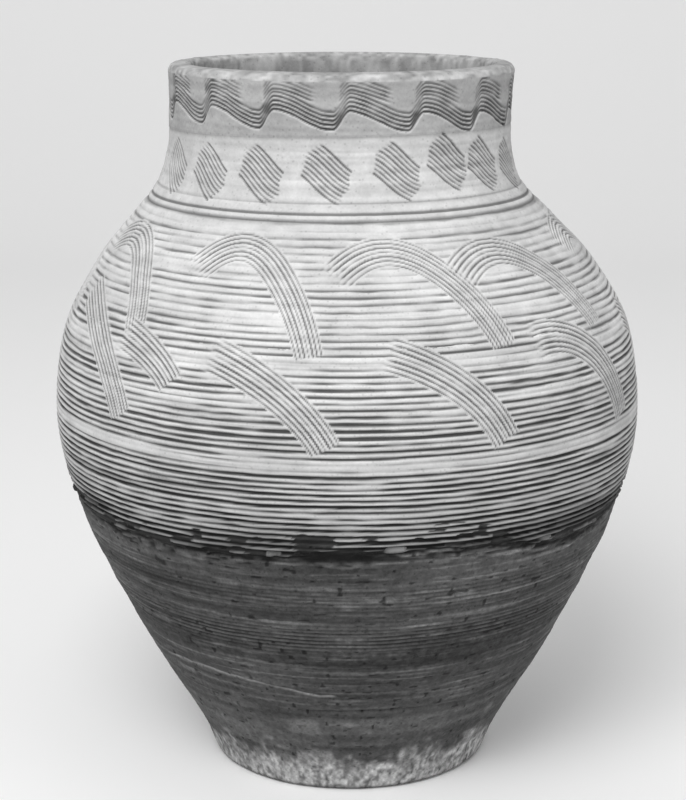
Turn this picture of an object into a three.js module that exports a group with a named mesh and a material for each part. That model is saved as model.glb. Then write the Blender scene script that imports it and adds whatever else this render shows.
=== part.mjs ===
// A hand-built pottery jar with a combed body, as the pieces of clay that it was raised from:
// a base disc, seven strips laid one on the other with bevelled laps, and a band round the neck for a rim.
// Millimetres, +Z up. The origin is on the ground under the middle of the belly, and the front faces -Y.

import * as THREE from "three";

const jarHeight = 390;
const roundSteps = 60;
const tallestStep = 16;

// Outside of the wall as [height, radius], from the foot to the lip.
const wallStations = [
  [0, 79],
  [20, 87],
  [70, 115.7],
  [132, 145.8],
  [164, 157],
  [203, 162.4],
  [250, 155.6],
  [285, 136],
  [308, 116],
  [326, 100.3],
  [345, 94.2],
  [357, 93.5],
  [372, 93.6],
  [390, 94.4],
];

// Thickness of the wall as [height, thickness].
const thicknessStations = [
  [0, 12],
  [100, 11],
  [200, 9.5],
  [300, 9],
  [345, 11],
  [375, 12.6],
  [390, 13],
];

// The jar isn't true: its middle wanders sideways along X as [height, offset].
const leanStations = [
  [0, 1.6],
  [60, 1.2],
  [200, 0],
  [270, -0.6],
  [305, -2.4],
  [328, -4.5],
  [345, -4.4],
  [390, -3.2],
];

const footChamfer = 2.4;
const discThickness = 11;
const discBottomRadius = 70;
const discTopRadius = 66;
const lowestInsideHeight = 12;
const lipOuterRound = 4.6;
const lipInnerRound = 3.2;
const lipRoundSteps = 3;

// A joint's inner edge is this much higher than its outer edge, and touching pieces keep this gap.
const bevelRise = 14;
const jointGap = 0.3;

// Where the strips meet on the outside. The upper piece of a joint with a lap stands proud of the lower one,
// whose skin draws in to meet it over the reach below the joint.
const crackJoint = { height: 58, lap: 0, reach: 0 };
const scrapedJoint = { height: 105, lap: 0, reach: 0 };
const tornJoint = { height: 158, lap: 1.2, reach: 30 };
const bellyJoint = { height: 205, lap: 0, reach: 0 };
const shoulderJoint = { height: 262, lap: 0, reach: 0 };
const neckJoint = { height: 322, lap: 0, reach: 0 };
const rimJoint = { height: 357, lap: 0.8, reach: 8 };

// The neck's inner half goes on up inside the rim band as a tongue.
const tongueHeight = 14;
const tongueDepth = 5.6;
const tongueSlant = 1;

// The torn edge of the combed clay and the crease under the rim band rise and fall around the jar. Each wave is
// [size, waves around, angle of its crest in degrees], and it dies out over the reach above and below the joint.
const waveringEdges = [
  {
    joint: tornJoint,
    reach: 26,
    waves: [
      [2.5, 3, 5],
      [1.5, 5, 10],
    ],
  },
  { joint: rimJoint, reach: 11, waves: [[2, 1, 40]] },
];
const waveringMargin = 4;

const paleClay = { color: 0xc9c6c0, roughness: 0.9, metalness: 0 };
const rimClay = { color: 0xbdbab4, roughness: 0.9, metalness: 0 };
const darkClay = { color: 0x55534f, roughness: 0.85, metalness: 0 };
const footClay = { color: 0x6f6c67, roughness: 0.9, metalness: 0 };

// A smooth curve through the stations, as a cubic between each two.
function smoothThrough(stations, height) {
  const last = stations.length - 1;
  let index = 0;
  while (index < last - 1 && height > stations[index + 1][0]) {
    index += 1;
  }
  const slopeAt = (place) => {
    const before = stations[Math.max(place - 1, 0)];
    const after = stations[Math.min(place + 1, last)];
    return (after[1] - before[1]) / (after[0] - before[0]);
  };
  const [startHeight, startValue] = stations[index];
  const [endHeight, endValue] = stations[index + 1];
  const span = endHeight - startHeight;
  const t = (height - startHeight) / span;
  const endShare = t * t * (3 - 2 * t);
  const startTangent = t * (1 - t) * (1 - t) * span * slopeAt(index);
  const endTangent = t * t * (t - 1) * span * slopeAt(index + 1);
  return startValue * (1 - endShare) + endValue * endShare + startTangent + endTangent;
}

function wallRadius(height) {
  return smoothThrough(wallStations, height);
}

function wallThickness(height) {
  return smoothThrough(thicknessStations, height);
}

// The point of the wall's section that lies this deep under the outside, square to it at this height.
function wallPoint(height, depth) {
  const slope = wallRadius(height + 0.5) - wallRadius(height - 0.5);
  const length = Math.hypot(1, slope);
  return new THREE.Vector2(wallRadius(height) - depth / length, height + (depth * slope) / length);
}

// Heights from one to the other in even steps, both ends included.
function heightsBetween(start, end) {
  const steps = Math.max(1, Math.round(Math.abs(end - start) / tallestStep));
  return Array.from({ length: steps + 1 }, (_, step) => start + ((end - start) * step) / steps);
}

// How deep a strip's skin lies at a height, where the joint above it laps over it.
function skinDepth(height, topJoint) {
  if (topJoint.lap === 0) {
    return 0;
  }
  const nearness = THREE.MathUtils.clamp(1 - (topJoint.height - height) / topJoint.reach, 0, 1);
  return topJoint.lap * nearness * nearness;
}

// The bevelled face of a joint from the outside to the inside. side is 1 for the piece above and -1 below.
function bevelFace(joint, side) {
  const thickness = wallThickness(joint.height);
  const shift = (side * jointGap * Math.hypot(thickness, bevelRise)) / (2 * thickness);
  return [wallPoint(joint.height + shift, joint.lap), wallPoint(joint.height + bevelRise + shift, thickness)];
}

// The stepped face between the neck's tongue and the rim band.
function tongueFace(side) {
  const shift = (side * jointGap) / 2;
  const foot = rimJoint.height + shift;
  const top = foot + tongueHeight;
  const depth = tongueDepth - shift;
  return [
    wallPoint(foot, rimJoint.lap),
    wallPoint(foot + tongueSlant, depth),
    wallPoint(top, depth),
    wallPoint(top + tongueSlant, wallThickness(top)),
  ];
}

function jointFace(joint, side) {
  return joint === rimJoint ? tongueFace(side) : bevelFace(joint, side);
}

function innerEdgeHeight(joint) {
  return joint.height + (joint === rimJoint ? tongueHeight + tongueSlant : bevelRise);
}

// Skin points of a strip between two heights, without the ends that its joints already give.
function outsideBetween(start, end, topJoint) {
  return heightsBetween(start, end)
    .slice(1, -1)
    .map((height) => wallPoint(height, skinDepth(height, topJoint)));
}

function insideBetween(start, end) {
  return heightsBetween(start, end)
    .slice(1, -1)
    .map((height) => wallPoint(height, wallThickness(height)));
}

// Section of a strip between two joints: up the outside, in over the top, down the inside and out again.
function stripSection(bottomJoint, topJoint) {
  const lappingEdge = bottomJoint.lap > 0 ? [wallPoint(bottomJoint.height + jointGap / 2, 0)] : [];
  return [
    ...lappingEdge,
    ...outsideBetween(bottomJoint.height, topJoint.height, topJoint),
    ...jointFace(topJoint, -1),
    ...insideBetween(innerEdgeHeight(topJoint), innerEdgeHeight(bottomJoint)),
    ...jointFace(bottomJoint, 1).reverse(),
  ];
}

// The first strip stands on the ground round the base disc, and its inner edge is bevelled to the disc's.
function footSection() {
  const bevelGap = (jointGap * Math.hypot(discThickness, discBottomRadius - discTopRadius)) / discThickness;
  return [
    new THREE.Vector2(wallStations[0][1] - footChamfer, 0),
    wallPoint(footChamfer, 0),
    ...outsideBetween(footChamfer, crackJoint.height, crackJoint),
    ...jointFace(crackJoint, -1),
    ...insideBetween(innerEdgeHeight(crackJoint), lowestInsideHeight),
    wallPoint(lowestInsideHeight, wallThickness(lowestInsideHeight)),
    new THREE.Vector2(discTopRadius + bevelGap, discThickness),
    new THREE.Vector2(discBottomRadius + bevelGap, 0),
  ];
}

// A quarter round of the lip, from one angle to the other in degrees.
function lipRound(centerRadius, round, startAngle, endAngle) {
  return Array.from({ length: lipRoundSteps + 1 }, (_, step) => {
    const angle = THREE.MathUtils.degToRad(startAngle + ((endAngle - startAngle) * step) / lipRoundSteps);
    return new THREE.Vector2(
      centerRadius + round * Math.cos(angle),
      jarHeight - round + round * Math.sin(angle),
    );
  });
}

// The rim band laps over the neck's tongue, and its lip is rounded over with a narrow level crest.
function rimSection() {
  const lipOutside = wallRadius(jarHeight);
  const lipInside = lipOutside - wallThickness(jarHeight);
  return [
    wallPoint(rimJoint.height + jointGap / 2, 0),
    ...outsideBetween(rimJoint.height, jarHeight - lipOuterRound, rimJoint),
    ...lipRound(lipOutside - lipOuterRound, lipOuterRound, 0, 90),
    ...lipRound(lipInside + lipInnerRound, lipInnerRound, 90, 180),
    ...jointFace(rimJoint, 1).reverse(),
  ];
}

function discSection() {
  return [
    new THREE.Vector2(0, 0),
    new THREE.Vector2(discBottomRadius, 0),
    new THREE.Vector2(discTopRadius, discThickness),
    new THREE.Vector2(0, discThickness),
  ];
}

function sumOfWaves(waves, angle) {
  return waves.reduce(
    (sum, [size, count, crest]) => sum + size * Math.cos(count * (angle - THREE.MathUtils.degToRad(crest))),
    0,
  );
}

// 1 at the heights that a joint takes up in the wall, and less above and below, down to 0.
function nearnessTo({ joint, reach }, height) {
  const below = joint.height - height;
  const above = height - innerEdgeHeight(joint) - waveringMargin;
  return 1 - THREE.MathUtils.smoothstep(Math.max(below, above), 0, reach);
}

// How far a point slides up the wall, because the two edges that show aren't level.
function wavering(angle, height) {
  return waveringEdges.reduce((sum, edge) => sum + nearnessTo(edge, height) * sumOfWaves(edge.waves, angle), 0);
}

// Turns a true round form into the jar's own: its edges waver and its middle wanders.
function shapeByHand(geometry) {
  const position = geometry.getAttribute("position");
  for (let index = 0; index < position.count; index += 1) {
    const x = position.getX(index);
    const y = position.getY(index);
    const z = position.getZ(index);
    const angle = Math.atan2(x, -y);
    const newZ = z + wavering(angle, z);
    const newRadius = Math.hypot(x, y) + wallRadius(newZ) - wallRadius(z);
    const newX = newRadius * Math.sin(angle) + smoothThrough(leanStations, newZ);
    position.setXYZ(index, newX, -newRadius * Math.cos(angle), newZ);
  }
  return geometry;
}

function turned(name, section, clay) {
  const geometry = new THREE.LatheGeometry(section, roundSteps);
  geometry.rotateX(Math.PI / 2);
  const mesh = new THREE.Mesh(shapeByHand(geometry), new THREE.MeshStandardMaterial(clay));
  mesh.name = name;
  return mesh;
}

function turnedRing(name, section, clay) {
  return turned(name, [...section, section[0]], clay);
}

const group = new THREE.Group();
group.add(turned("base_disc", discSection(), footClay));
group.add(turnedRing("foot_strip", footSection(), footClay));
group.add(turnedRing("lower_body_strip", stripSection(crackJoint, scrapedJoint), darkClay));
group.add(turnedRing("mid_body_strip", stripSection(scrapedJoint, tornJoint), darkClay));
group.add(turnedRing("belly_strip", stripSection(tornJoint, bellyJoint), paleClay));
group.add(turnedRing("upper_belly_strip", stripSection(bellyJoint, shoulderJoint), paleClay));
group.add(turnedRing("shoulder_strip", stripSection(shoulderJoint, neckJoint), paleClay));
group.add(turnedRing("neck_strip", stripSection(neckJoint, rimJoint), rimClay));
group.add(turnedRing("rim_band", rimSection(), rimClay));

export default group;
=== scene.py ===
"""The looks of the combed pottery jar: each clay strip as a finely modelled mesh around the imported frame."""

import math

import bpy
import numpy as np
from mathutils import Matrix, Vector


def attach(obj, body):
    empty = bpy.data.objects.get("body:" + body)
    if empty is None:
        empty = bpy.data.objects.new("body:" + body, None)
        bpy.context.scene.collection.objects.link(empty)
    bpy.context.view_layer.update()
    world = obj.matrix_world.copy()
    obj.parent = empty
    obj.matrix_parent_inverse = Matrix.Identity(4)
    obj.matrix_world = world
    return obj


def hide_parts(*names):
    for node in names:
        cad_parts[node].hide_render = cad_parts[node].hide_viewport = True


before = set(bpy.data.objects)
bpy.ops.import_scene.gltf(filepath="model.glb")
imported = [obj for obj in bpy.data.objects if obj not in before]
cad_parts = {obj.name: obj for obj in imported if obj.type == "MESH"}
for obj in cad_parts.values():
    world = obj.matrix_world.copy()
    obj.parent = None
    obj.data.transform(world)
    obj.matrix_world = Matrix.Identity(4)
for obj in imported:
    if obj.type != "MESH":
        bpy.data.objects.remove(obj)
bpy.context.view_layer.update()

# Lengths are in millimetres up to the mesh, and angles in degrees, 0 at the front and growing to the right.
MM = 0.001
COLUMNS = 1280
FINE_ROW = 0.6
COARSE_ROW = 0.8
INSIDE_ROW = 4.0
MEAN_RADIUS = 150

# The wall as in the solids: outside radius, thickness and sideways lean by height.
WALL = [
    (0, 79), (20, 87), (70, 115.7), (132, 145.8), (164, 157), (203, 162.4), (250, 155.6), (285, 136),
    (308, 116), (326, 100.3), (345, 94.2), (357, 93.5), (372, 93.6), (390, 94.4),
]
THICKNESS = [(0, 12), (100, 11), (200, 9.5), (300, 9), (345, 11), (375, 12.6), (390, 13)]
LEAN = [(0, 1.6), (60, 1.2), (200, 0), (270, -0.6), (305, -2.4), (328, -4.5), (345, -4.4), (390, -3.2)]

JAR_HEIGHT = 390
FOOT_CHAMFER = 2.4
DISC_THICKNESS = 11
DISC_BOTTOM_RADIUS = 70
DISC_TOP_RADIUS = 66
LOWEST_INSIDE = 12
LIP_OUTER_ROUND = 4.6
LIP_INNER_ROUND = 3.2
BEVEL_RISE = 14
TORN_LAP = 1.2
RIM_LAP = 0.8
TONGUE_HEIGHT = 14
TONGUE_DEPTH = 5.6

CRACK = 58
SCRAPED = 105
TORN = 158
BELLY = 205
SHOULDER = 262
NECK = 322
RIM = 357

# Waves of the torn edge and of the rim's crease: (size, waves around, angle of the crest).
WAVES = {TORN: [(2.5, 3, 5), (1.5, 5, 10)], RIM: [(2, 1, 40)]}

# Tones as linear grey, from the black-and-white photograph.
PALE = 0.61
NECK_TONE = 0.49
# The rim band's grey is darkened with painted shade, for an upright band that turns slightly down.
RIM_SHADED_TONE = 0.33
DARK = 0.052
FOOT_TONE = 0.41

# By height: tone of the pale clay, how far painted shade darkens what is cut into it, depth of the
# level grooves and tone of the inside.
PALE_TONES = [
    (155, 0.22), (166, 0.36), (185, 0.46), (215, 0.52), (262, 0.59), (300, PALE), (NECK, 0.57),
    (RIM - 6, NECK_TONE),
]
GROOVE_SHADE = [(165, 0.98), (190, 0.95), (240, 0.86), (290, 0.76), (318, 0.72), (330, 0.68), (360, 0.76)]
GROOVE_DEPTHS = [(150, 1.7), (165, 1.7), (200, 1.4), (240, 1.15), (285, 0.8), (303, 0.65), (318, 0.6)]
INSIDE_TONES = [(0, 0.12), (300, 0.16), (350, 0.22), (385, 0.34)]
DARKEST = 0.005
PALEST = 0.75

# Level lines drawn at the foot of the neck: height, depth, half-width.
NECK_LINES = [(321.6, 0.85, 0.7), (318.4, 0.8, 0.7), (326.5, 0.3, 0.6)]

ANGLES = np.arange(COLUMNS) * 2 * math.pi / COLUMNS


def smooth_through(stations, height):
    """A smooth curve through the stations, as a cubic between each two."""
    heights, values = np.array(stations, float).T
    slopes = np.gradient(values, heights)
    slopes[1:-1] = (values[2:] - values[:-2]) / (heights[2:] - heights[:-2])
    index = np.clip(np.searchsorted(heights, height, side="right") - 1, 0, len(heights) - 2)
    span = heights[index + 1] - heights[index]
    t = (height - heights[index]) / span
    share = t * t * (3 - 2 * t)
    tangents = t * (1 - t) ** 2 * span * slopes[index] + t * t * (t - 1) * span * slopes[index + 1]
    return values[index] * (1 - share) + values[index + 1] * share + tangents


def wall_slope(height):
    return smooth_through(WALL, height + 0.5) - smooth_through(WALL, height - 0.5)


def wall_point(height, depth):
    """Radius and height of the point this deep under the outside, square to the wall."""
    slope = wall_slope(height)
    length = np.hypot(1, slope)
    return smooth_through(WALL, height) - depth / length, height + depth * slope / length


def by_height(stations, height):
    """Straight lines through (height, value) stations."""
    return np.interp(height, *np.array(stations, float).T)


def smoothstep(low, high, value):
    t = np.clip((value - low) / (high - low), 0, 1)
    return t * t * (3 - 2 * t)


def bump(value, middle, width):
    return np.exp(-(((value - middle) / width) ** 2))


def noise(angle, height, width, tall, seed):
    """Smooth noise from -1 to 1, in cells about width around the jar and tall high."""
    around = max(4, round(2 * math.pi * MEAN_RADIUS / width))
    up = int((JAR_HEIGHT + 20) / tall) + 3
    lattice = np.random.default_rng(seed).uniform(-1, 1, (up, around))
    x = (angle / (2 * math.pi)) % 1 * around
    y = np.clip(height, 0, JAR_HEIGHT + 10) / tall
    column = np.floor(x).astype(int)
    row = np.floor(y).astype(int)
    u = x - column
    v = y - row
    u = u * u * (3 - 2 * u)
    v = v * v * (3 - 2 * v)
    left = column % around
    right = (column + 1) % around
    lower = lattice[row, left] * (1 - u) + lattice[row, right] * u
    upper = lattice[row + 1, left] * (1 - u) + lattice[row + 1, right] * u
    return lower * (1 - v) + upper * v


def waved(joint, angle):
    """Height of a joint's outer edge around the jar."""
    waves = WAVES.get(joint, [])
    level = np.full_like(angle, joint, dtype=float)
    for size, count, crest in waves:
        level += size * np.cos(count * (angle - math.radians(crest)))
    return level


# Strokes of the comb on the shoulder and belly: angle of the crest, height of the end, span, fall, and
# how far along its turn the stroke starts.
ARC_LINES = 7
ARC_PITCH = 2.75
ARC_END_TURN = 69
ARC_FADE = 12
UPPER_NARROWING = 0.25
LOWER_NARROWING = 0.15
UPPER_ARCS = [
    (-66, 264, 20, 40, -30), (-25, 259, 18, 47, -34), (10, 261, 21, 44, -34), (38, 262, 21, 40, -34),
    (78, 262, 20, 42, -30), (114, 260, 20, 44, -34), (152, 263, 19, 41, -34), (190, 259, 21, 45, -34),
    (228, 262, 19, 42, -30), (262, 261, 20, 42, -34),
]
LOWER_ARCS = [
    (-86, 222, 40, 60, 20), (-59, 242, 25, 22, 20), (-40, 216, 36, 47, 20), (-3, 216, 32, 48, 16),
    (42, 212, 21, 49, -12), (64, 216, 32, 48, 18), (96, 220, 34, 44, 20), (131, 214, 34, 49, 18),
    (168, 218, 32, 46, 12), (203, 215, 34, 49, 20), (239, 219, 32, 46, 16),
]

# Leaf-shaped marks on the neck: where each one starts, at its top left.
LEAF_LINES = 9
LEAF_PITCH = 2.2
LEAF_SPAN = 14
LEAF_DROP = 16
LEAF_TAPER = 0.4
LEAF_FADE = 3
LEAF_STARTS = [
    (-52, 347), (-32, 348), (-11, 349), (11, 350), (29, 353), (45, 350), (63, 347), (83, 348), (104, 349),
    (125, 347), (145, 350), (166, 348), (187, 349), (208, 347), (229, 350), (249, 348), (269, 349),
    (288, 347),
]

# The comb's wave on the rim band.
WAVE_COUNT = 15
WAVE_CREST = 3
WAVE_RISE_SHARE = 0.22
WAVE_SIZE = 9.5
WAVE_LINES = 5
WAVE_PITCH = 2.15
WAVE_BASE = 359.6
WAVE_TILT = 3.0
WAVE_TILT_CREST = -40
UPPER_WAVE_LINES = 4
UPPER_WAVE_RISE = 12.2
UPPER_WAVE_PITCH = 2.0
UPPER_WAVE_SIZE = 7.5

GROOVE_PITCH = 3.2
GROOVE_WIDTH = 0.88


def arc_path(crest, end_height, span, fall, start_turn):
    turn = np.radians(np.linspace(start_turn, ARC_END_TURN, 60))
    last = math.radians(ARC_END_TURN)
    fallen = (1 - np.cos(turn)) / (1 - math.cos(last))
    return np.radians(crest + span * np.sin(turn) / math.sin(last)), end_height + fall * (1 - fallen)


def leaf_path(start_angle, top):
    share = np.linspace(0, 1, 40)
    drop = 0.4 * share + 0.6 * smoothstep(0, 1, share)
    return np.radians(start_angle + LEAF_SPAN * share), top - LEAF_DROP * drop


def comb_stroke(angle, height, path, lines, pitch, depth, fade, narrowing=0, taper=0):
    """Relief of one stroke of the comb, and how far it wipes out what lay under it.

    The comb's lines close up along a stroke that narrows, and a tapered stroke's outer lines are shorter.
    """
    path_angle, path_height = path
    relief = np.zeros_like(height)
    wiped = np.zeros_like(height)
    half = lines * pitch / 2
    reach = half + 4
    away = (angle - path_angle.mean() + math.pi) % (2 * math.pi) - math.pi
    half_span = np.ptp(path_angle) / 2 + reach / smooth_through(WALL, path_height.mean())
    near = np.abs(away) < half_span
    near &= (height > path_height.min() - reach) & (height < path_height.max() + reach)
    if not near.any():
        return relief, wiped
    radius = smooth_through(WALL, path_height)
    stretch = np.hypot(1, wall_slope(path_height))
    dx = (away[near][:, None] - (path_angle - path_angle.mean())) * radius
    dy = (height[near][:, None] - path_height) * stretch
    nearest = np.argmin(dx * dx + dy * dy, axis=1)
    pick = np.arange(len(nearest))
    tangent_x = np.gradient(path_angle) * radius
    tangent_y = np.gradient(path_height) * stretch
    step = np.hypot(tangent_x, tangent_y)
    tx = (tangent_x / step)[nearest]
    ty = (tangent_y / step)[nearest]
    across = dy[pick, nearest] * tx - dx[pick, nearest] * ty
    along = np.cumsum(step)[nearest] + dx[pick, nearest] * tx + dy[pick, nearest] * ty
    total = step.sum()
    width = 1 - narrowing * np.clip(along / total, 0, 1)
    across /= width
    short = taper * np.abs(across)
    rough = 1.2 * noise(angle[near], height[near], 6, 3, 35)
    inside = smoothstep(0, fade, along - short) * smoothstep(total + 1.5, total - 0.5, along + short + rough)
    inside *= smoothstep(half + 0.6, half - 0.4, np.abs(across))
    place = across / pitch + (0 if lines % 2 else 0.5)
    off_line = (place - np.round(place)) * pitch
    pressure = 1 - 0.25 * np.cos(np.round(place) * 2.4) + 0.15 * rough
    groove = bump(off_line, 0, 0.25 * pitch) * pressure
    relief[near] = inside * (0.12 - depth * groove)
    wiped[near] = inside
    return relief, wiped


def rim_wave_share(angle):
    """The wave's shape around the rim: a steep rise to 1, then a long fall to 0."""
    place = ((angle - math.radians(WAVE_CREST)) * WAVE_COUNT / (2 * math.pi)) % 1
    falling = 0.5 + 0.5 * np.cos(math.pi * np.clip(place / (1 - WAVE_RISE_SHARE), 0, 1))
    rising = smoothstep(1 - WAVE_RISE_SHARE, 1, place)
    return np.maximum(falling, rising)


def rim_wave_relief(angle, height):
    share = rim_wave_share(angle)
    lean = np.gradient(share, axis=1) * COLUMNS / (2 * math.pi * 94)
    low = WAVE_BASE + WAVE_TILT * np.cos(angle - math.radians(WAVE_TILT_CREST))
    jitter = 0.4 * noise(angle, height * 0, 22, 30, 31) + 0.15 * noise(angle, height * 0, 5, 30, 36)
    relief = np.zeros_like(height)
    upper_only = smoothstep(0.12, 0.4, share)
    rows = [
        (low, WAVE_SIZE, WAVE_PITCH, WAVE_LINES, 1.2, 0.45, 1),
        (low + UPPER_WAVE_RISE, UPPER_WAVE_SIZE, UPPER_WAVE_PITCH, UPPER_WAVE_LINES, 0.8, 0.3, upper_only),
    ]
    for base, size, pitch, lines, depth, fading, shown in rows:
        slant = np.hypot(1, size * lean)
        for line in range(lines):
            middle = base + size * share + line * pitch + jitter
            strength = depth * (1 - fading * line / lines) * shown / slant ** 0.5
            relief -= strength * bump((height - middle) / slant, 0, 0.6)
    return relief * (0.8 + 0.3 * noise(angle, height, 9, 4, 32))


def combed_rows(angle, height):
    """Depth of the level grooves that the comb drew round the body."""
    wander = 0.9 * noise(angle, height, 150, 30, 1) + 0.35 * noise(angle, height, 40, 6, 2)
    wander += 0.16 * noise(angle, height, 7, 3, 37)
    place = (height + wander) / GROOVE_PITCH
    index = np.round(place)
    off_line = (place - index) * GROOVE_PITCH
    own_depth = 0.8 + 0.14 * np.sin(index * 2.1) + 0.14 * np.sin(index * 5.3 + 1)
    depth = by_height(GROOVE_DEPTHS, height)
    smoothed = 0.8 * bump(height, 206, 3.2) + 0.55 * bump(height, 182, 2.6) + 0.45 * bump(height, 254, 2.5)
    pressed = 0.82 + 0.26 * noise(angle, height, 50, 3.2, 3) + 0.24 * noise(angle, height, 11, 3.2, 4)
    width = GROOVE_WIDTH * np.interp(height, [170, 210, 300], [1.1, 1, 0.8])
    drawn = depth * own_depth * (1 - smoothed) * pressed * bump(off_line, 0, width)
    return drawn + 0.22 * smoothstep(0.45, 0.8, noise(angle, height, 70, 1.1, 38))


PITS = np.random.default_rng(7)
PIT_COUNT = 170
PIT_PLACES = np.stack(
    [
        PITS.uniform(0, 2 * math.pi, PIT_COUNT),
        PITS.uniform(6, 156, PIT_COUNT),
        PITS.uniform(0.7, 2.1, PIT_COUNT) ** 1.3,
        PITS.uniform(0.4, 1.1, PIT_COUNT),
    ],
    axis=1,
)
# Larger hollows that the photograph shows: angle, height, radius, depth.
SEEN_PITS = [
    (8, 134, 3.0, 1.3), (22, 133, 2.2, 1.0), (-32, 65, 2.0, 0.9), (17, 69, 1.8, 0.9), (2, 116, 2.2, 0.8),
]


def pits(angle, height):
    relief = np.zeros_like(height)
    seen = [(math.radians(place), *rest) for place, *rest in SEEN_PITS]
    for pit_angle, pit_height, radius, depth in [*PIT_PLACES, *seen]:
        if not height.min() - 4 < pit_height < height.max() + 4:
            continue
        away = (angle - pit_angle + math.pi) % (2 * math.pi) - math.pi
        distance = np.hypot(away * smooth_through(WALL, pit_height), (height - pit_height) * 1.3)
        relief -= depth * smoothstep(radius * 1.25, radius * 0.5, distance)
    return relief


def line_mark(angle, height, stations, width):
    """1 along a hand-drawn line through (angle, height) stations, and 0 off it."""
    degrees = np.degrees((angle + math.pi) % (2 * math.pi) - math.pi)
    ends = smoothstep(stations[0][0] - 2, stations[0][0], degrees)
    ends *= smoothstep(stations[-1][0] + 2, stations[-1][0], degrees)
    middle = np.interp(degrees, *np.array(stations, float).T)
    return ends * bump(height, middle + 0.5 * noise(angle, height, 8, 60, 5), width)


CRACK_LINE = [(-14, 57.5), (-2, 58.6), (10, 58.2), (22, 57.2), (36, 56)]
SCRATCH_LINE = [(-58, 74), (-50, 76), (-38, 76), (-28, 74.5), (-16, 72), (-8, 69), (-5, 69.6)]
GOUGE_LINE = [(-50, 40), (-47.5, 42.5), (-45, 41.5), (-43, 38.5)]


def combed_skin(angle, height, above_crease, band):
    """Relief of the combed skin, from the torn edge up to the lip."""
    relief = -combed_rows(angle, height) * smoothstep(NECK - 2, NECK - 5, height)
    arcs = [(arc, UPPER_NARROWING) for arc in UPPER_ARCS] + [(arc, LOWER_NARROWING) for arc in LOWER_ARCS]
    for arc, narrowing in arcs:
        path = arc_path(*arc)
        stroke, wiped = comb_stroke(angle, height, path, ARC_LINES, ARC_PITCH, 0.85, ARC_FADE, narrowing)
        relief = relief * (1 - 0.92 * wiped) + stroke
    for leaf in LEAF_STARTS:
        path = leaf_path(*leaf)
        stroke, wiped = comb_stroke(
            angle, height, path, LEAF_LINES, LEAF_PITCH, 0.8, LEAF_FADE, taper=LEAF_TAPER
        )
        relief = relief * (1 - wiped) + stroke
    for middle, depth, half_width in NECK_LINES:
        relief -= depth * bump(height, middle, half_width)
    neck = smoothstep(NECK, NECK + 4, height) * smoothstep(RIM + 4, RIM - 4, height)
    relief -= 0.14 * neck * (1 + noise(angle, height, 120, 1.5, 9))

    # The crease under the rim band, and the wave above it, which runs over the crease on the right.
    relief -= 0.35 * (1 - band) * smoothstep(-4, 0, above_crease)
    if height.max() > RIM - 12:
        relief += rim_wave_relief(angle, height) * smoothstep(-6, -2, above_crease)
    return relief


def torn_edge(angle, height):
    """Height above the torn edge, how far the combed skin is still there, and where it has flaked off."""
    ragged = 3.0 * noise(angle, height * 0, 38, 50, 11) + 2.0 * noise(angle, height, 15, 2.2, 12)
    edge = waved(TORN, angle) + ragged + 1.2 * noise(angle, height, 5, 1.5, 13)
    above_edge = height - edge
    flaked = smoothstep(0.0, 0.14, noise(angle, height, 11, 1.7, 14) - (above_edge - 4) / 12)
    flaked *= smoothstep(19, 12, above_edge)
    skin = smoothstep(-0.3, 0.5, above_edge) * (1 - 0.9 * flaked)
    return above_edge, skin, flaked


def scraped_wall(angle, height, above_edge, wheel, crumbs):
    """Relief of the dark wall under the torn edge, scraped level, with crumbs, pits and scratches."""
    relief = -TORN_LAP * smoothstep(-34, -2, above_edge) - 0.35
    relief += 0.16 * noise(angle, height, 130, 1.4, 15) + 0.2 * noise(angle, height, 40, 12, 16)
    relief += 0.3 * wheel + 0.1 * noise(angle, height, 45, 0.8, 10)
    relief += 0.9 * crumbs - 0.6 * bump(above_edge, -1, 1.6)
    if height.min() < TORN + 10:
        relief += pits(angle, height)
        relief -= 1.6 * line_mark(angle, height, CRACK_LINE, 0.9)
        relief -= 0.5 * line_mark(angle, height, SCRATCH_LINE, 0.7)
        relief -= 1.5 * line_mark(angle, height, GOUGE_LINE, 1.1)
    return relief


def pale_tone(angle, height, above_edge, band, cut, relief):
    """Tone of the combed skin, with painted shade in what is cut, a smudge above the torn edge and painted
    light on the upper flank of each ridge.
    """
    tone = by_height(PALE_TONES, height)
    # The rim band takes its darker grey, which carries painted shade.
    tone = tone + (RIM_SHADED_TONE - tone) * band
    tone = tone * (1 + 0.06 * noise(angle, height, 60, 30, 21) + 0.09 * noise(angle, height, 90, 2.0, 22))
    tone = tone * (1 + 0.07 * noise(angle, height, 7, 3, 34))
    smudged = bump(height, 163, 8) * smoothstep(-0.3, 0.5, noise(angle, height, 30, 7, 8))
    tone = tone * (1 - 0.55 * smudged) * (0.25 + 0.75 * smoothstep(-3, 9, above_edge))
    # Painted shade: grooves and comb strokes are darkened in the tone, more so towards the neck.
    tone = tone * (1 - by_height(GROOVE_SHADE, height) * smoothstep(0.1, 0.72, cut))
    # Painted light: the upper flank of each ridge is made paler, more so on the rim band.
    painted_flank_light = -np.clip(np.gradient(relief, axis=0) / np.gradient(height, axis=0), -1, 1)
    return tone * (1 + (0.2 + 0.7 * band) * painted_flank_light)


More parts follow.
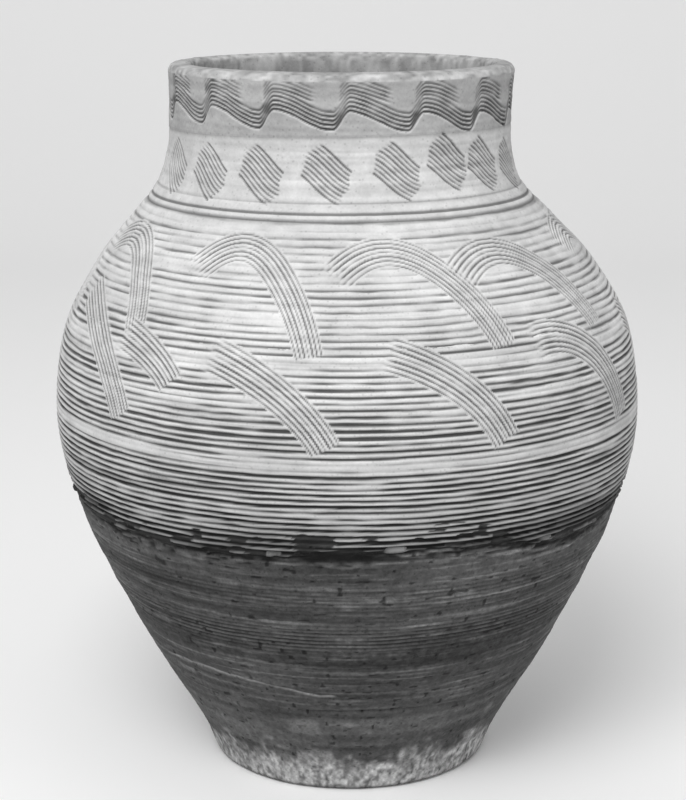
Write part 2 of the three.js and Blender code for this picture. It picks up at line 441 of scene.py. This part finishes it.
def dark_tone(angle, height, above_edge, flaked, wheel, crumbs, relief):
    """Tone of the smoke-darkened wall: pale scratches, black flecks and lime at the foot, with painted shadow
    under the torn edge and along the bottom, and painted shade in the deepest hollows.
    """
    lighter = 0.8 * bump(height, 44, 16) + 0.3 * bump(height, 145, 9)
    scratched = smoothstep(0.35, 0.8, noise(angle, height, 42, 1.3, 24))
    scratched += 0.6 * smoothstep(0.4, 0.8, noise(angle, height, 16, 1.2, 29))
    scratched *= smoothstep(25, 95, height)
    tone = DARK * (1 + 0.4 * noise(angle, height, 60, 26, 23) + 0.4 * noise(angle, height, 100, 3, 39))
    tone = tone * (1 + 0.6 * lighter + 0.7 * wheel + 1.2 * scratched)
    tone = tone * (1 + 0.25 * noise(angle, height, 3, 1.8, 30) - 0.35 * bump(height, 95, 9))
    tone = tone * (1 - 0.75 * smoothstep(0.68, 0.84, noise(angle, height, 4.5, 2, 40)))
    patch = smoothstep(0.35, 0.9, noise(angle, height, 15, 7, 25)) * bump(height, 47, 12)
    lime_line = height + 8 * noise(angle, height, 26, 12, 26) + 5 * noise(angle, height, 6, 4, 27)
    flecks = 0.75 + 0.5 * noise(angle, height, 4, 3, 28) + 0.35 * noise(angle, height, 2, 1.7, 33)
    tone = tone + 0.06 * patch + (FOOT_TONE - DARK) * smoothstep(28, 8, lime_line) * flecks
    scratch = line_mark(angle, height, SCRATCH_LINE, 0.6)
    tone = tone + 0.25 * scratch * (0.6 + 0.4 * noise(angle, height, 7, 50, 6))
    # Painted shadow in a narrow band just under the torn edge, where the combed skin overhangs.
    tone = tone * (1 + 0.9 * crumbs) * (1 - 0.92 * bump(above_edge, -0.9, 1.7))
    tone = tone * (1 - 0.7 * flaked * smoothstep(-1, 1, above_edge))
    # Painted shade where the relief sinks deepest: pits, the crack, the gouge and the dip under the torn edge.
    tone = tone * (1 - 0.7 * smoothstep(-2.3, -3.3, relief))
    # Painted shadow along the bottom 3 mm, where the foot's rounded edge meets the floor.
    return tone * np.interp(height, [0, 1.8, 3], [0.35, 0.5, 1])


def surface(angle, height):
    """Relief of the outside in mm, at most 0 so that it stays inside the solids, and its grey tone."""
    above_crease = height - waved(RIM, angle)
    band = smoothstep(-0.9, 0.5, above_crease)
    combed = combed_skin(angle, height, above_crease, band)
    above_edge, skin, flaked = torn_edge(angle, height)
    wheel = (bump(height, 107, 8) + 0.5 * bump(height, 132, 9)) * np.cos(2 * math.pi * height / 2.35)
    crumbs = bump(above_edge, -3, 4) * noise(angle, height, 4.5, 1.7, 17)
    scraped = scraped_wall(angle, height, above_edge, wheel, crumbs)
    relief = combed * skin + scraped * (1 - skin)
    uneven = 0.35 * noise(angle, height, 75, 38, 18) + 0.1 * noise(angle, height, 9, 7, 19)
    relief += uneven + 0.05 * noise(angle, height, 2.2, 1.4, 20) - 0.45
    pale = pale_tone(angle, height, above_edge, band, -combed, relief)
    dark = dark_tone(angle, height, above_edge, flaked, wheel, crumbs, relief)
    return np.minimum(relief, 0), np.clip(pale * skin + dark * (1 - skin), DARKEST, PALEST)


def inside_surface(angle, height):
    """Depth that the inside varies by, and its tone: mottled and paler near the mouth."""
    rough = 0.35 * noise(angle, height, 45, 14, 41) + 0.2 * noise(angle, height, 60, 3, 42)
    tone = by_height(INSIDE_TONES, height)
    tone = tone * (1 + 0.3 * noise(angle, height, 9, 6, 43) + 0.25 * noise(angle, height, 4, 2.5, 44))
    return rough, tone


def rows_between(low, high, spacing):
    return np.linspace(0, 1, max(3, int(abs(high - low) / spacing)))


def outside_rows(low_edge, high_edge, spacing):
    """Rows of the outside between two edges, each an array of heights around the jar."""
    share = rows_between(low_edge.mean(), high_edge.mean(), spacing)[:, None]
    height = low_edge * (1 - share) + high_edge * share
    angle = np.broadcast_to(ANGLES, height.shape)
    relief, tone = surface(angle, height)
    radius, level = wall_point(height, -relief)
    return radius, level, tone


def inside_rows(high_edge, low_edge):
    share = rows_between(high_edge.mean(), low_edge.mean(), INSIDE_ROW)[:, None]
    height = high_edge * (1 - share) + low_edge * share
    angle = np.broadcast_to(ANGLES, height.shape)
    rough, tone = inside_surface(angle, height)
    radius, level = wall_point(height, smooth_through(THICKNESS, height) + rough)
    return radius, level, tone


def hidden_row(radius, level, tone=PALE * 0.5):
    """A row inside a joint, where nothing shows."""
    whole = np.ones(COLUMNS)
    return whole * radius, whole * level, whole * tone


def joint_rows(joint):
    """Rows inside a joint, from the outside inwards. A plain bevel needs none."""
    if joint != RIM:
        return []
    foot = waved(RIM, ANGLES)
    heights = [foot + 1, foot + 1 + TONGUE_HEIGHT - 1]
    return [hidden_row(*wall_point(height, TONGUE_DEPTH)) for height in heights]


def inner_edge(joint):
    return waved(joint, ANGLES) + (TONGUE_HEIGHT + 1 if joint == RIM else BEVEL_RISE)


def stack(*groups):
    """Joins groups of rows, each (radius, level, tone), into three arrays, and notes where a group ends."""
    arrays = [tuple(np.atleast_2d(part) for part in group) for group in groups]
    counts = np.cumsum([array[0].shape[0] for array in arrays])
    corners = sorted({*(counts - 1).tolist(), *(counts % counts[-1]).tolist()})
    return [np.concatenate([array[part] for array in arrays]) for part in range(3)], corners


def strip_rows(bottom, top, spacing):
    return stack(
        outside_rows(waved(bottom, ANGLES), waved(top, ANGLES), spacing),
        *joint_rows(top),
        inside_rows(inner_edge(top), inner_edge(bottom)),
        *reversed(joint_rows(bottom)),
    )


def lip_rows(center, round_radius, start, end, steps):
    turn = np.radians(np.linspace(start, end, steps))[:, None]
    angle = np.broadcast_to(ANGLES, (steps, COLUMNS))
    height = JAR_HEIGHT - round_radius + round_radius * np.sin(turn) + 0 * angle
    along = round_radius * turn + 0 * angle
    worn = 0.25 * (1 + noise(angle, height, 30, 40, 51)) + 0.22 * (1 + noise(angle, along, 6, 3, 52))
    worn = worn * smoothstep(0, 25, np.abs(turn - math.radians(start)) * 57)
    radius = center + (round_radius - worn) * np.cos(turn)
    level = height - worn * np.sin(turn)
    # The lip's grey starts from the rim band's grey with its painted shade, made paler.
    tone = RIM_SHADED_TONE * (1.2 + 0.25 * noise(angle, along, 12, 4, 53) + 0.35 * noise(angle, along, 5, 2, 54))
    return radius, level, tone


def rim_rows():
    low = waved(RIM, ANGLES)
    lip_outside = float(smooth_through(WALL, JAR_HEIGHT))
    lip_inside = lip_outside - float(smooth_through(THICKNESS, JAR_HEIGHT))
    shoulder = np.full(COLUMNS, JAR_HEIGHT - LIP_OUTER_ROUND)
    radius, level, tone = outside_rows(low, shoulder, FINE_ROW)
    outer = lip_rows(lip_outside - LIP_OUTER_ROUND, LIP_OUTER_ROUND, 8, 90, 10)
    # The round starts from where the band's relief ends, and eases out of it.
    ease = np.linspace(1, 0, 10)[:, None] ** 2
    outer = (outer[0] + ease * (radius[-1] - outer[0][0]), outer[1], outer[2])
    inner = lip_rows(lip_inside + LIP_INNER_ROUND, LIP_INNER_ROUND, 90, 176, 8)
    inside = inside_rows(np.full(COLUMNS, JAR_HEIGHT - 6.0), inner_edge(RIM))
    parts = [(radius, level, tone), outer, inner, inside]
    joined = tuple(np.concatenate([part[index] for part in parts]) for index in range(3))
    return stack(joined, *reversed(joint_rows(RIM)))


def foot_rows():
    angle = ANGLES[None, :]
    edge = np.linspace(0, 1, 6)[:-1, None] * FOOT_CHAMFER
    relief, tone = surface(angle + 0 * edge, edge + 0 * angle)
    radius = 79 - FOOT_CHAMFER * (1 - edge / FOOT_CHAMFER) ** 1.5 + 0.4 * edge + relief
    chamfer = (radius, edge + 0 * angle, tone)
    wall = outside_rows(np.full(COLUMNS, FOOT_CHAMFER), waved(CRACK, ANGLES), COARSE_ROW)
    outside = tuple(np.concatenate([chamfer[index], wall[index]]) for index in range(3))
    return stack(
        outside,
        inside_rows(inner_edge(CRACK), np.full(COLUMNS, float(LOWEST_INSIDE))),
        hidden_row(DISC_TOP_RADIUS, DISC_THICKNESS, 0.14),
        hidden_row(DISC_BOTTOM_RADIUS, 0, FOOT_TONE),
    )


def disc_rows():
    """Base disc: the underside from its middle to the edge, then the top back to the middle."""
    reach = np.linspace(0.004, 1, 40)[:, None] + 0 * ANGLES
    x = reach * np.cos(ANGLES)
    y = reach * np.sin(ANGLES)
    across = (x + 1) * 1.4
    deep = (y + 1) * 120
    grain = noise(across, deep, 26, 8, 61) + 0.6 * noise(across, deep, 9, 3, 62)
    hollow = (0.3 + 0.22 * grain) * smoothstep(1, 0.92, reach)
    under = (reach * DISC_BOTTOM_RADIUS, hollow, FOOT_TONE * (0.8 + 0.3 * grain))
    top = (reach[::-1] * DISC_TOP_RADIUS, DISC_THICKNESS - 0.25 * (1 + grain[::-1]) * (reach[::-1] < 1),
           0.13 * (1 + 0.3 * grain[::-1]))
    return stack(under, top)


# Around a strip the bake's map is cut into quarters, laid one above the other, with the inside in two more.
MAP_QUARTERS = 4
MAP_MARGIN = 0.004


def bake_map(mesh, rows, outside_count):
    """Lays each face in the map: the outside in four rows and everything else in four lower ones."""
    face_row, face_column = np.divmod(np.arange(rows * COLUMNS), COLUMNS)
    per_quarter = COLUMNS // MAP_QUARTERS
    quarter, within = np.divmod(face_column, per_quarter)
    outer_count = outside_count - 1
    is_outer = face_row < outer_count
    local = np.where(is_outer, face_row, face_row - outer_count)
    total = np.where(is_outer, outer_count, rows - outer_count)
    band_height = np.where(is_outer, 0.19, 0.055)
    band_start = np.where(is_outer, 0.235 + 0.19 * quarter, 0.058 * quarter)
    u0 = MAP_MARGIN + (1 - 2 * MAP_MARGIN) * within / per_quarter
    u1 = MAP_MARGIN + (1 - 2 * MAP_MARGIN) * (within + 1) / per_quarter
    usable = band_height - 2 * MAP_MARGIN
    v0 = band_start + MAP_MARGIN + usable * local / total
    v1 = band_start + MAP_MARGIN + usable * (local + 1) / total
    corners = np.stack([u0, v0, u1, v0, u1, v1, u0, v1], axis=1)
    layer = mesh.uv_layers.new(name="OFBake")
    layer.uv.foreach_set("vector", corners.ravel().astype(np.float32))


def build_piece(name, node, rows, corners, material):
    """One closed mesh from rows round the jar, each joined to the next and the last to the first."""
    radius, level, tone = rows
    count = radius.shape[0]
    x = radius * np.sin(ANGLES) + smooth_through(LEAN, level)
    y = -radius * np.cos(ANGLES)
    points = np.stack([x, y, np.maximum(level, 0)], axis=2).reshape(-1, 3) * MM
    row, column = np.divmod(np.arange(count * COLUMNS), COLUMNS)
    next_row = (row + 1) % count
    next_column = (column + 1) % COLUMNS
    faces = np.stack(
        [
            row * COLUMNS + column,
            row * COLUMNS + next_column,
            next_row * COLUMNS + next_column,
            next_row * COLUMNS + column,
        ],
        axis=1,
    )
    mesh = bpy.data.meshes.new(name)
    mesh.vertices.add(len(points))
    mesh.vertices.foreach_set("co", points.ravel().astype(np.float32))
    mesh.loops.add(faces.size)
    mesh.loops.foreach_set("vertex_index", faces.ravel().astype(np.int32))
    mesh.polygons.add(len(faces))
    mesh.polygons.foreach_set("loop_start", np.arange(0, faces.size, 4, dtype=np.int32))
    mesh.polygons.foreach_set("use_smooth", np.ones(len(faces), dtype=bool))
    mesh.update(calc_edges=True)
    bake_map(mesh, count, corners[0] + 1)
    ends = np.empty(len(mesh.edges) * 2, dtype=np.int32)
    mesh.edges.foreach_get("vertices", ends)
    end_rows = ends.reshape(-1, 2) // COLUMNS
    sharp = (end_rows[:, 0] == end_rows[:, 1]) & np.isin(end_rows[:, 0], corners)
    marks = mesh.attributes.new("sharp_edge", "BOOLEAN", "EDGE")
    marks.data.foreach_set("value", sharp)
    greys = mesh.attributes.new("tone", "FLOAT", "POINT")
    greys.data.foreach_set("value", tone.ravel().astype(np.float32))
    mesh.validate()
    piece = bpy.data.objects.new(name, mesh)
    bpy.context.scene.collection.objects.link(piece)
    mesh.materials.append(material)
    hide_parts(node)
    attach(piece, "root")
    return piece


def clay(name, grit, speckle, roughness, coarse):
    """Fired clay in grey: the surface's own tone, broken up by grit, specks and cloudy patches."""
    material = bpy.data.materials.new(name)
    material.use_nodes = True
    tree = material.node_tree
    shader = tree.nodes["Principled BSDF"]
    place = tree.nodes.new("ShaderNodeTexCoord")

    def texture(kind, scale, **settings):
        node = tree.nodes.new(kind)
        node.inputs["Scale"].default_value = scale
        for key, value in settings.items():
            node.inputs[key].default_value = value
        tree.links.new(place.outputs["Object"], node.inputs["Vector"])
        return node

    def spread(output, low, high, to_low, to_high):
        node = tree.nodes.new("ShaderNodeMapRange")
        for socket, value in zip(["From Min", "From Max", "To Min", "To Max"], [low, high, to_low, to_high]):
            node.inputs[socket].default_value = value
        tree.links.new(output, node.inputs["Value"])
        return node.outputs["Result"]

    def times(first, second):
        node = tree.nodes.new("ShaderNodeMath")
        node.operation = "MULTIPLY"
        tree.links.new(first, node.inputs[0])
        tree.links.new(second, node.inputs[1])
        return node.outputs["Value"]

    tone = tree.nodes.new("ShaderNodeAttribute")
    tone.attribute_name = "tone"
    fine = texture("ShaderNodeTexNoise", 620, Detail=4, Roughness=0.65)
    cloudy = texture("ShaderNodeTexNoise", 34, Detail=6, Roughness=0.6)
    specks = texture("ShaderNodeTexVoronoi", 330)
    grain = spread(fine.outputs["Fac"], 0.25, 0.75, 1 - grit, 1 + grit)
    clouds = spread(cloudy.outputs["Fac"], 0.3, 0.7, 0.9, 1.1)
    dots = spread(specks.outputs["Distance"], 0.1, 0.24, 1 - speckle, 1)
    grey = times(times(tone.outputs["Fac"], grain), times(clouds, dots))
    tree.links.new(grey, shader.inputs["Base Color"])
    rough = spread(cloudy.outputs["Fac"], 0.3, 0.7, roughness - 0.08, roughness + 0.08)
    tree.links.new(rough, shader.inputs["Roughness"])
    shader.inputs["Specular IOR Level"].default_value = 0.15
    relief = tree.nodes.new("ShaderNodeBump")
    relief.inputs["Strength"].default_value = coarse
    relief.inputs["Distance"].default_value = 0.0006
    tree.links.new(fine.outputs["Fac"], relief.inputs["Height"])
    tree.links.new(relief.outputs["Normal"], shader.inputs["Normal"])
    return material


CLAYS = {
    "pale_clay": clay("pale_clay", 0.07, 0.16, 0.86, 0.3),
    "rim_clay": clay("rim_clay", 0.09, 0.2, 0.86, 0.35),
    "dark_clay": clay("dark_clay", 0.3, 0.35, 0.7, 0.5),
    "foot_clay": clay("foot_clay", 0.28, 0.3, 0.78, 0.5),
}

PIECES = [
    ("base_disc", "foot_clay", disc_rows),
    ("foot_strip", "foot_clay", foot_rows),
    ("lower_body_strip", "dark_clay", lambda: strip_rows(CRACK, SCRAPED, FINE_ROW)),
    ("mid_body_strip", "dark_clay", lambda: strip_rows(SCRAPED, TORN, FINE_ROW)),
    ("belly_strip", "pale_clay", lambda: strip_rows(TORN, BELLY, FINE_ROW)),
    ("upper_belly_strip", "pale_clay", lambda: strip_rows(BELLY, SHOULDER, FINE_ROW)),
    ("shoulder_strip", "pale_clay", lambda: strip_rows(SHOULDER, NECK, FINE_ROW)),
    ("neck_strip", "rim_clay", lambda: strip_rows(NECK, RIM, FINE_ROW)),
    ("rim_band", "rim_clay", rim_rows),
]
for node, slot, make_rows in PIECES:
    rows, corners = make_rows()
    build_piece(f"{node}_clay", node, rows, corners, CLAYS[slot])

# The stage: one pale sheet that runs from the floor up behind the jar.
FLOOR_FRONT = -2.2
FLOOR_BACK = 1.6
SHEET_HALF_WIDTH = 3.0
SHEET_BEND = 0.8
SHEET_TOP = 3.0
BEND_STEPS = 16


def build_stage():
    turn = np.linspace(0, math.pi / 2, BEND_STEPS)
    line = [(FLOOR_FRONT, 0.0)]
    line += [(FLOOR_BACK + SHEET_BEND * math.sin(t), SHEET_BEND * (1 - math.cos(t))) for t in turn]
    line.append((FLOOR_BACK + SHEET_BEND, SHEET_TOP))
    points = [(side * SHEET_HALF_WIDTH, y, z) for y, z in line for side in (-1, 1)]
    faces = [(2 * i, 2 * i + 1, 2 * i + 3, 2 * i + 2) for i in range(len(line) - 1)]
    mesh = bpy.data.meshes.new("backdrop")
    mesh.from_pydata(points, [], faces)
    mesh.polygons.foreach_set("use_smooth", [True] * len(faces))
    sheet = bpy.data.objects.new("backdrop", mesh)
    bpy.context.scene.collection.objects.link(sheet)
    paper = bpy.data.materials.new("backdrop_paper")
    paper.use_nodes = True
    shader = paper.node_tree.nodes["Principled BSDF"]
    shader.inputs["Base Color"].default_value = (0.94, 0.94, 0.94, 1)
    shader.inputs["Roughness"].default_value = 0.95
    shader.inputs["Specular IOR Level"].default_value = 0.1
    mesh.materials.append(paper)


def area_light(name, place, target, size, watts):
    data = bpy.data.lights.new(name, "AREA")
    data.size = size
    data.energy = watts
    light = bpy.data.objects.new(name, data)
    bpy.context.scene.collection.objects.link(light)
    light.location = place
    direction = Vector(target) - Vector(place)
    light.rotation_euler = direction.to_track_quat("-Z", "Y").to_euler()


build_stage()
area_light("key_above_left", (-0.5, -1.5, 1.75), (0, 0, 0.2), 1.2, 34)
area_light("fill_right", (1.8, -1.5, 1.0), (0, 0, 0.2), 1.6, 7)

scene = bpy.context.scene
world = bpy.data.worlds.new("studio")
world.use_nodes = True
world.node_tree.nodes["Background"].inputs["Color"].default_value = (1, 1, 1, 1)
world.node_tree.nodes["Background"].inputs["Strength"].default_value = 0.55
scene.world = world
scene.view_settings.view_transform = "Standard"

# The camera, from the fit of the jar's outline, rim and foot in the photograph.
CAMERA_PLACE = (-2.4 * MM, -1061.7 * MM, 458.3 * MM)
CAMERA_DOWN = 13.6
LENS = 87.2

camera_data = bpy.data.cameras.new("camera")
camera_data.lens = LENS
camera_data.sensor_width = 36
camera = bpy.data.objects.new("camera", camera_data)
camera.location = CAMERA_PLACE
camera.rotation_euler = (math.radians(90 - CAMERA_DOWN), 0, 0)
scene.collection.objects.link(camera)
scene.camera = camera
